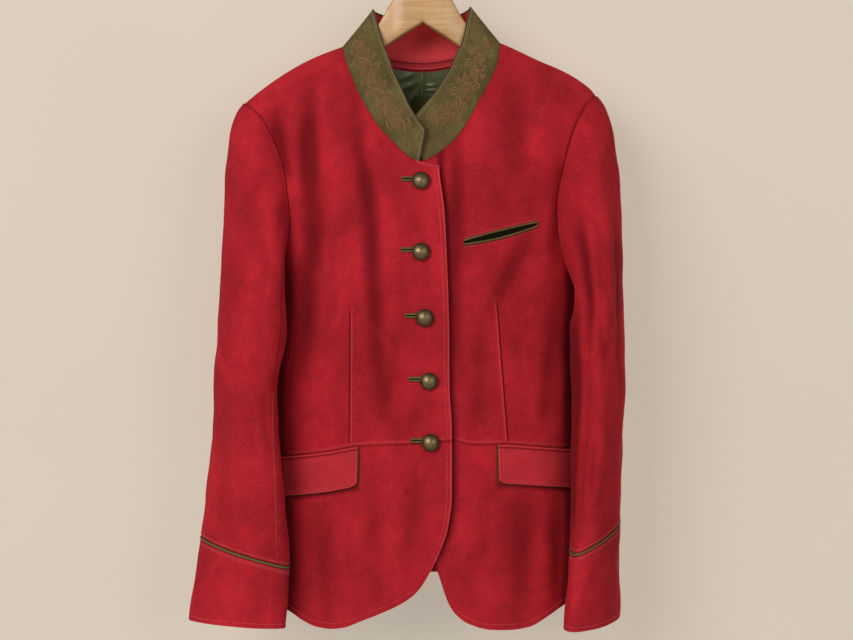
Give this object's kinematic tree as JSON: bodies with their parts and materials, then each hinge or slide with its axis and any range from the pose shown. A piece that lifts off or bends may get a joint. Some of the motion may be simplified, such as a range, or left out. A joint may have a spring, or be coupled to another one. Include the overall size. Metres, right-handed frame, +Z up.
{
  "type": "leather jacket on a hanger",
  "caption": "Fitted suede jacket with a stand collar, lapping buttoned front, flap pockets and two-piece sleeves, hanging on a wooden hanger.",
  "frame": {"origin": "inside top of the hanger's hook, where a rail or wall hook holds it", "axes": "+Z up, +X across the front from the wearer's right to left, -Y towards the front"},
  "size_m": [0.5045, 0.174, 0.8374],
  "materials": {
    "red_suede": "napped suede, matte",
    "olive_suede": "napped suede, matte",
    "olive_satin": "satin weave",
    "aged_brass": "antiqued",
    "beech": "clear lacquer",
    "steel_wire": "bright wire"
  },
  "bodies": {
    "root": {"back": "red_suede", "back_lining": "olive_satin", "breast_pocket_slit": "olive_suede", "breast_welt_lower": "olive_suede", "breast_welt_upper": "olive_suede", "button_1": "aged_brass", "button_2": "aged_brass", "button_3": "aged_brass", "button_4": "aged_brass", "button_5": "aged_brass", "buttonhole_1": "olive_suede", "buttonhole_2": "olive_suede", "buttonhole_3": "olive_suede", "buttonhole_4": "olive_suede", "buttonhole_5": "olive_suede", "collar": "olive_suede", "collar_facing": "red_suede", "cuff_left": "red_suede", "cuff_right": "red_suede", "cuff_trim_left": "olive_suede", "cuff_trim_right": "olive_suede", "flap_backing_left": "olive_suede", "flap_backing_right": "olive_suede", "flap_left": "red_suede", "flap_right": "red_suede", "front_left": "red_suede", "front_right": "red_suede", "hanger_hook": "steel_wire", "hanger_wood": "beech", "neck_facing": "red_suede", "skirt_left": "red_suede", "skirt_right": "red_suede", "sleeve_left_under": "red_suede", "sleeve_left_upper": "red_suede", "sleeve_right_under": "red_suede", "sleeve_right_upper": "red_suede"}
  },
  "joints": []
}
